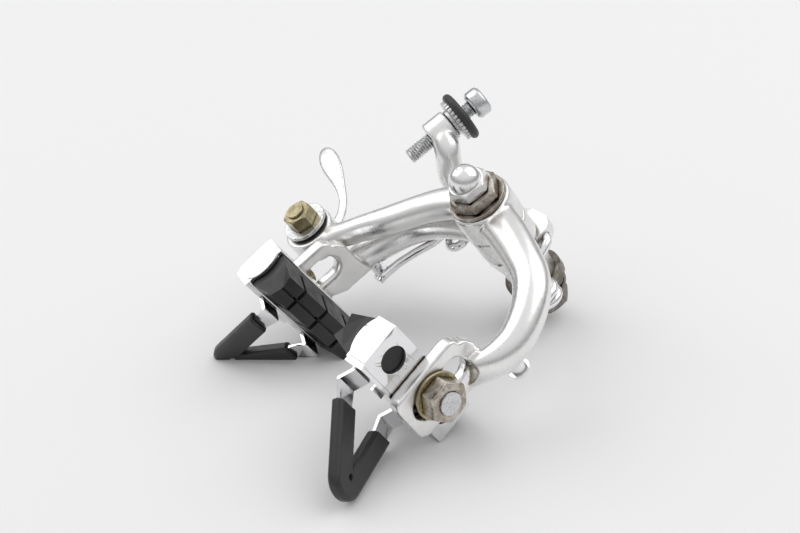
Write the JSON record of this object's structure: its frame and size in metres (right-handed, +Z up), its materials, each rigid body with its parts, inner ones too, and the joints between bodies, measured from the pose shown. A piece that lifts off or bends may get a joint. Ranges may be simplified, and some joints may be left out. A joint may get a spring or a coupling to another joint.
{
  "type": "caliper_brake",
  "caption": "Side-pull bicycle rim brake caliper with polished alloy arms, block shoes, wheel guides, quick-release cable anchor and barrel adjuster",
  "frame": {"origin": "on the pivot bolt's axis, at the rear face of the toothed washer that seats on the fork crown", "axes": "+Y along the pivot bolt into the fork, +X to the right seen from the front, +Z up"},
  "size_m": [0.1208, 0.064, 0.1087],
  "materials": {
    "satin_alloy": "polished, fine scratches and handling marks",
    "bright_alloy": "bright turned",
    "grimy_steel": "brown grime in the corners",
    "chromed_steel": "chrome plated with small pits",
    "zinc_plate": "dull zinc plate, mottled",
    "yellow_brass": "yellowed",
    "black_rubber": "satin"
  },
  "bodies": {
    "carrier": {"pivot_bolt": "grimy_steel", "acorn_nut": "bright_alloy", "lock_nut": "grimy_steel", "front_washer": "grimy_steel", "arm_washer": "zinc_plate", "rear_arm_washer": "zinc_plate", "spring_block": "satin_alloy", "return_spring": "chromed_steel", "seat_washer": "grimy_steel", "inner_ring_washer": "grimy_steel", "grip_ring": "grimy_steel", "outer_ring_washer": "grimy_steel", "rear_nut": "grimy_steel"},
    "front_arm_group": {"front_arm": "satin_alloy", "front_spring_peg": "chromed_steel"},
    "rear_arm_group": {"rear_arm": "satin_alloy", "rear_spring_peg": "chromed_steel"},
    "adjuster_wheel_group": {"adjuster_wheel": "zinc_plate", "adjuster_o_ring": "black_rubber"},
    "adjuster_barrel_group": {"adjuster_barrel": "zinc_plate"},
    "quick_release_group": {"quick_release_lever": "chromed_steel"},
    "anchor_group": {"anchor_bolt": "yellow_brass", "cable_washer": "zinc_plate", "anchor_ring": "black_rubber", "anchor_nut": "yellow_brass"},
    "right_clamp_group": {"right_shoe_washer": "yellow_brass", "right_shoe_nut": "grimy_steel"},
    "right_shoe_group": {"right_shoe_stud": "zinc_plate", "right_shoe_holder": "chromed_steel", "right_brake_pad": "black_rubber", "right_wheel_guide": "chromed_steel", "right_guide_sleeve": "black_rubber"},
    "left_clamp_group": {"left_shoe_washer": "yellow_brass", "left_shoe_nut": "grimy_steel"},
    "left_shoe_group": {"left_shoe_stud": "zinc_plate", "left_shoe_holder": "chromed_steel", "left_brake_pad": "black_rubber", "left_wheel_guide": "chromed_steel", "left_guide_sleeve": "black_rubber"}
  },
  "joints": [
    {"name": "front_arm_pivot", "type": "hinge", "parent": "carrier", "child": "front_arm_group", "pos_m": [0, -0.0315, 0], "axis": [0, 1, 0], "range_deg": [0, 9], "stiffness_Nm_per_rad": 0.8, "springref_deg": -34.38, "deforming": ["return_spring"]},
    {"name": "rear_arm_pivot", "type": "hinge", "parent": "carrier", "child": "rear_arm_group", "pos_m": [0, -0.02215, 0], "axis": [0, -1, 0], "range_deg": [0, 9], "stiffness_Nm_per_rad": 0.8, "springref_deg": -34.38, "deforming": ["return_spring"]},
    {"name": "adjuster_turn", "type": "hinge", "parent": "rear_arm_group", "child": "adjuster_wheel_group", "pos_m": [-0.03407, -0.03535, 0.01162], "axis": [0.1908, 0, 0.9816], "range_deg": [-2165, 1085]},
    {"name": "adjuster_slide", "type": "slide", "parent": "rear_arm_group", "child": "adjuster_barrel_group", "axis": [0.1908, 0, 0.9816], "range_m": [-0.0024, 0.0048]},
    {"name": "quick_release_turn", "type": "hinge", "parent": "front_arm_group", "child": "quick_release_group", "pos_m": [-0.04811, -0.0315, -0.03401], "axis": [0, -1, 0], "range_deg": [0, 100]},
    {"name": "anchor_turn", "type": "hinge", "parent": "quick_release_group", "child": "anchor_group", "pos_m": [-0.04877, -0.0315, -0.03348], "axis": [0, -1, 0], "range_deg": [-101, 1]},
    {"name": "right_shoe_height", "type": "slide", "parent": "front_arm_group", "child": "right_clamp_group", "axis": [-0.1045, 0, 0.9945], "range_m": [-0.004, 0.004]},
    {"name": "right_shoe_angle", "type": "hinge", "parent": "right_clamp_group", "child": "right_shoe_group", "pos_m": [0.03183, -0.0327, -0.04693], "axis": [0.9945, 0, 0.1045], "range_deg": [-8, 8]},
    {"name": "left_shoe_height", "type": "slide", "parent": "rear_arm_group", "child": "left_clamp_group", "axis": [0.1045, 0, 0.9945], "range_m": [-0.0015, 0.006]},
    {"name": "left_shoe_angle", "type": "hinge", "parent": "left_clamp_group", "child": "left_shoe_group", "pos_m": [-0.03209, -0.0319, -0.04942], "axis": [-0.9945, 0, 0.1045], "range_deg": [-8, 8]}
  ],
  "couplings": [
    {"joint": "adjuster_turn", "follows": "adjuster_slide", "rad_per_m": -7854},
    {"joint": "anchor_turn", "follows": "quick_release_turn", "ratio": -1}
  ]
}
